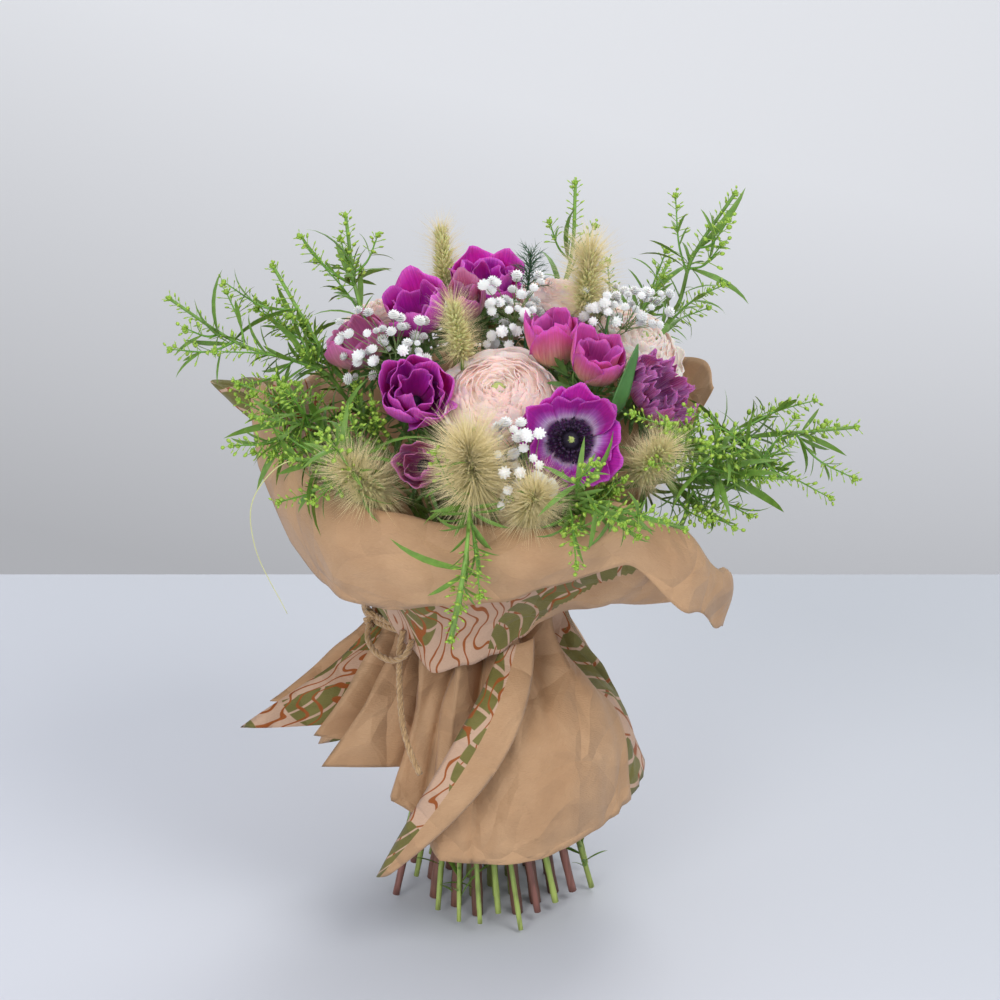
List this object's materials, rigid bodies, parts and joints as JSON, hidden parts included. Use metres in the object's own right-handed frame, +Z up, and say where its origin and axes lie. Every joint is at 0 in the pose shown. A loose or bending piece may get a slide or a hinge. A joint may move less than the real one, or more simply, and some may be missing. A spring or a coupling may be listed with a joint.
{
  "type": "mixed flower bouquet",
  "caption": "Hand-tied mixed bouquet of anemones, ranunculus, feather grass, gypsophila and pennycress in a brown paper wrap tied with jute twine, standing on its cut stems.",
  "frame": {"origin": "on the surface it stands on, below the middle of the bouquet's bounding box", "axes": "+Z up along the bundle of stems, -Y towards the side with the turned-down paper collar, +X to the right as seen from that side"},
  "size_m": [0.3996, 0.3109, 0.4401],
  "materials": {
    "kraft": "matte, one face printed with olive leaf shapes and rust-brown lines",
    "twine": "twisted jute",
    "anemone_petal": "matte, magenta petals",
    "anemone_centre": "matte, blue-black stamens",
    "ranunculus_petal": "matte, pale pink petals",
    "leaf": "matte leaf",
    "flower_stem": "matte, red-brown stems and green cut leaves",
    "grass": "feathery bristles",
    "gypsophila": "white florets on thin green stems",
    "fern": "dark green needles"
  },
  "bodies": {
    "root": {"anemone_back_left_petals": "anemone_petal", "anemone_back_right_petals": "anemone_petal", "anemone_bud_petals": "anemone_petal", "anemone_crown_petals": "anemone_petal", "anemone_deep_petals": "anemone_petal", "anemone_dusky_petals": "anemone_petal", "anemone_left_petals": "anemone_petal", "anemone_low_petals": "anemone_petal", "anemone_open_centre": "anemone_centre", "anemone_open_petals": "anemone_petal", "anemone_right_petals": "anemone_petal", "anemone_stems_back": "flower_stem", "anemone_stems_front": "flower_stem", "anemone_stems_left": "flower_stem", "anemone_stems_right": "flower_stem", "anemone_tall_petals": "anemone_petal", "anemone_two_tone_petals": "anemone_petal", "fern_back": "fern", "fern_top": "fern", "grass_back": "grass", "grass_front": "grass", "grass_front_low": "grass", "grass_left": "grass", "grass_middle": "grass", "grass_rear": "grass", "grass_right": "grass", "grass_top": "grass", "gypsophila_front": "gypsophila", "gypsophila_left": "gypsophila", "gypsophila_middle": "gypsophila", "gypsophila_right": "gypsophila", "pennycress_back_right": "leaf", "pennycress_far_left": "leaf", "pennycress_front": "leaf", "pennycress_front_left": "leaf", "pennycress_front_right": "leaf", "pennycress_left": "leaf", "pennycress_left_front": "leaf", "pennycress_left_high": "leaf", "pennycress_right": "leaf", "pennycress_right_high": "leaf", "pennycress_right_low": "leaf", "pennycress_top": "leaf", "ranunculus_back_petals": "ranunculus_petal", "ranunculus_back_right_petals": "ranunculus_petal", "ranunculus_front_petals": "ranunculus_petal", "ranunculus_left_petals": "ranunculus_petal", "ranunculus_right_petals": "ranunculus_petal", "ranunculus_stems": "leaf", "ranunculus_top_petals": "ranunculus_petal", "stem_binding": "twine", "twine_loop": "twine", "twine_tail": "twine", "twine_tie": "twine", "wrap_back_sheet": "kraft", "wrap_front_sheet": "kraft", "wrap_skirt": "kraft"}
  },
  "joints": []
}
